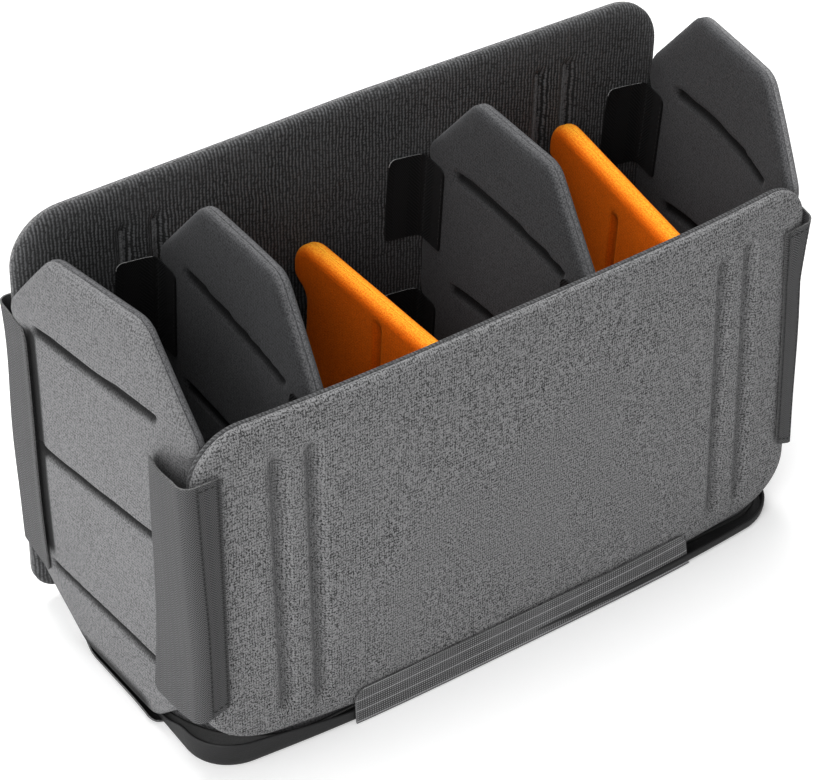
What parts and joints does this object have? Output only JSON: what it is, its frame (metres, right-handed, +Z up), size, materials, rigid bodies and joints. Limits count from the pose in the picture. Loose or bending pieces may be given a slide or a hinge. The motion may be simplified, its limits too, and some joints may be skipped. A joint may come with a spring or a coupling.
{
  "type": "padded camera bag divider insert",
  "caption": "Open-topped padded insert for a camera shoulder bag: two long walls and eight-sided ends round lift-out padded dividers, held by nylon corner flaps and base flaps.",
  "frame": {"origin": "centre of the base's underside, on the surface that the insert stands on", "axes": "+X along the long walls, +Y from the lower front wall to the taller back wall, +Z up"},
  "size_m": [0.3957, 0.1638, 0.2427],
  "materials": {
    "brushed_fabric": "brushed grey pile over moulded foam",
    "end_fabric": "brushed light grey pile over moulded foam",
    "divider_fabric": "brushed dark grey pile over moulded foam",
    "ribbed_lining": "dark grey loop lining with fine ribs",
    "orange_fabric": "brushed orange pile over moulded foam",
    "nylon": "dark grey twill nylon",
    "hook_strip": "black hook tape",
    "base_cover": "smooth dark coated sheet",
    "stiff_board": "plain black plastic board"
  },
  "bodies": {
    "insert": {"base_cover": "base_cover", "base_board": "stiff_board", "base_pad": "ribbed_lining", "front_wall_outer_pad": "brushed_fabric", "front_wall_inner_pad": "ribbed_lining", "front_wall_board": "stiff_board", "back_wall_outer_pad": "brushed_fabric", "back_wall_inner_pad": "ribbed_lining", "back_wall_board": "stiff_board", "left_end_outer_pad": "end_fabric", "left_end_inner_pad": "divider_fabric", "left_end_board": "stiff_board", "left_end_tab_front_upper": "nylon", "left_end_tab_front_lower": "nylon", "left_end_tab_back_upper": "nylon", "left_end_tab_back_lower": "nylon", "right_end_outer_pad": "end_fabric", "right_end_inner_pad": "divider_fabric", "right_end_board": "stiff_board", "right_end_tab_front_upper": "nylon", "right_end_tab_front_lower": "nylon", "right_end_tab_back_upper": "nylon", "right_end_tab_back_lower": "nylon"},
    "tall_divider_left": {"tall_divider_left_left_pad": "divider_fabric", "tall_divider_left_right_pad": "divider_fabric", "tall_divider_left_board": "stiff_board", "tall_divider_left_tab_front_upper": "nylon", "tall_divider_left_tab_front_lower": "nylon", "tall_divider_left_tab_back_upper": "nylon", "tall_divider_left_tab_back_lower": "nylon"},
    "tall_divider_right": {"tall_divider_right_left_pad": "divider_fabric", "tall_divider_right_right_pad": "divider_fabric", "tall_divider_right_board": "stiff_board", "tall_divider_right_tab_front_upper": "nylon", "tall_divider_right_tab_front_lower": "nylon", "tall_divider_right_tab_back_upper": "nylon", "tall_divider_right_tab_back_lower": "nylon"},
    "low_divider_left": {"low_divider_left_left_pad": "orange_fabric", "low_divider_left_right_pad": "orange_fabric", "low_divider_left_board": "stiff_board", "low_divider_left_tab_front": "nylon", "low_divider_left_tab_back": "nylon"},
    "low_divider_right": {"low_divider_right_left_pad": "orange_fabric", "low_divider_right_right_pad": "orange_fabric", "low_divider_right_board": "stiff_board", "low_divider_right_tab_front": "nylon", "low_divider_right_tab_back": "nylon"},
    "corner_flap_front_left": {"corner_flap_front_left": "nylon", "corner_strip_front_left": "hook_strip"},
    "corner_flap_front_right": {"corner_flap_front_right": "nylon", "corner_strip_front_right": "hook_strip"},
    "corner_flap_back_left": {"corner_flap_back_left": "nylon", "corner_strip_back_left": "hook_strip"},
    "corner_flap_back_right": {"corner_flap_back_right": "nylon", "corner_strip_back_right": "hook_strip"},
    "base_flap_front": {"base_flap_front": "nylon"},
    "base_flap_back": {"base_flap_back": "nylon"},
    "base_flap_left": {"base_flap_left": "nylon"},
    "base_flap_right": {"base_flap_right": "nylon"}
  },
  "joints": [
    {"name": "tall_divider_left_lift", "type": "slide", "parent": "insert", "child": "tall_divider_left", "axis": [0.0436, 0, 0.999], "range_m": [0, 0.25]},
    {"name": "tall_divider_right_lift", "type": "slide", "parent": "insert", "child": "tall_divider_right", "axis": [0.0436, 0, 0.999], "range_m": [0, 0.25]},
    {"name": "low_divider_left_lift", "type": "slide", "parent": "insert", "child": "low_divider_left", "axis": [0.0349, 0, 0.9994], "range_m": [0, 0.25]},
    {"name": "low_divider_right_lift", "type": "slide", "parent": "insert", "child": "low_divider_right", "axis": [0.0349, 0, 0.9994], "range_m": [0, 0.25]},
    {"name": "corner_flap_front_left_hinge", "type": "hinge", "parent": "insert", "child": "corner_flap_front_left", "pos_m": [-0.1752, -0.0445, 0.1175], "axis": [0, 0, -1], "range_deg": [0, 100]},
    {"name": "corner_flap_front_right_hinge", "type": "hinge", "parent": "insert", "child": "corner_flap_front_right", "pos_m": [0.17998, -0.0445, 0.1175], "axis": [0.061, 0, 0.9981], "range_deg": [0, 100]},
    {"name": "corner_flap_back_left_hinge", "type": "hinge", "parent": "insert", "child": "corner_flap_back_left", "pos_m": [-0.19015, 0.0555, 0.1175], "axis": [0, 0, 1], "range_deg": [0, 100]},
    {"name": "corner_flap_back_right_hinge", "type": "hinge", "parent": "insert", "child": "corner_flap_back_right", "pos_m": [0.19495, 0.0555, 0.1175], "axis": [-0.061, 0, -0.9981], "range_deg": [0, 100]},
    {"name": "base_flap_front_hinge", "type": "hinge", "parent": "insert", "child": "base_flap_front", "pos_m": [0, -0.0803, 0.0015], "axis": [1, 0, 0], "range_deg": [0, 90]},
    {"name": "base_flap_back_hinge", "type": "hinge", "parent": "insert", "child": "base_flap_back", "pos_m": [0, 0.0803, 0.0015], "axis": [-1, 0, 0], "range_deg": [0, 90]},
    {"name": "base_flap_left_hinge", "type": "hinge", "parent": "insert", "child": "base_flap_left", "pos_m": [-0.17026, 0.00086, 0.0087], "axis": [-0.1478, 0.989, 0], "range_deg": [0, 85]},
    {"name": "base_flap_right_hinge", "type": "hinge", "parent": "insert", "child": "base_flap_right", "pos_m": [0.1684, 0.00086, 0.00905], "axis": [-0.1475, -0.989, 0.009], "range_deg": [0, 85]}
  ]
}
